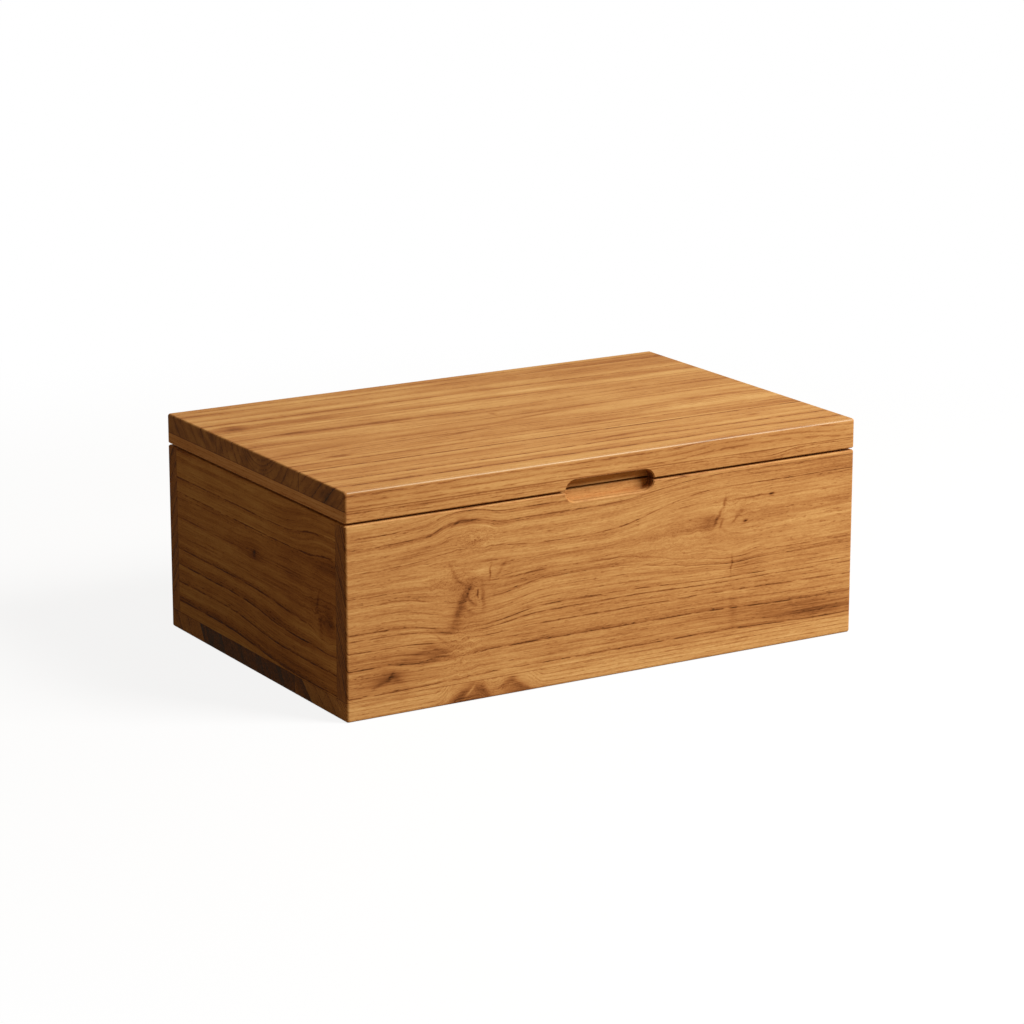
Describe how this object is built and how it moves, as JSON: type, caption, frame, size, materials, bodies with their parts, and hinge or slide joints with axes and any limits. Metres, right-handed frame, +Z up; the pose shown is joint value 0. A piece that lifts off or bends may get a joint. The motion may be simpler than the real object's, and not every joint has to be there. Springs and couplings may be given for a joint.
{
  "type": "hinged keepsake box",
  "caption": "Rectangular wooden keepsake box with a hinged lid, butt-jointed walls on a full-size bottom panel and a blind finger notch across the front seam.",
  "frame": {"origin": "middle of the box's footprint on the surface that it stands on", "axes": "+X to the right seen from the front, +Y to the back where the hinges are, +Z up; the lid is closed"},
  "size_m": [0.3, 0.1992, 0.1152],
  "materials": {
    "oiled_teak": "sanded and oiled to a satin",
    "beech_tongue": "planed, unfinished",
    "brass": "brushed",
    "felt": "matt felt"
  },
  "bodies": {
    "case": {"base_stave_front": "oiled_teak", "base_stave_middle": "oiled_teak", "base_stave_rear": "oiled_teak", "front_board": "oiled_teak", "back_board": "oiled_teak", "left_side_board": "oiled_teak", "right_side_board": "oiled_teak", "corner_tongues": "beech_tongue", "long_base_tongues": "beech_tongue", "side_base_tongues": "beech_tongue", "left_hinge_case_leaf": "brass", "left_hinge_pin": "brass", "right_hinge_case_leaf": "brass", "right_hinge_pin": "brass", "case_hinge_screws": "brass", "lid_pads": "felt"},
    "lid": {"lid_front_rail": "oiled_teak", "lid_back_rail": "oiled_teak", "lid_left_rail": "oiled_teak", "lid_right_rail": "oiled_teak", "lid_stave_front": "oiled_teak", "lid_stave_middle": "oiled_teak", "lid_stave_rear": "oiled_teak", "left_hinge_lid_leaf": "brass", "right_hinge_lid_leaf": "brass", "lid_hinge_screws": "brass"}
  },
  "joints": [
    {"name": "lid_hinge", "type": "hinge", "parent": "case", "child": "lid", "pos_m": [0, 0.0998, 0.099], "axis": [-1, 0, 0], "range_deg": [0, 95]}
  ]
}
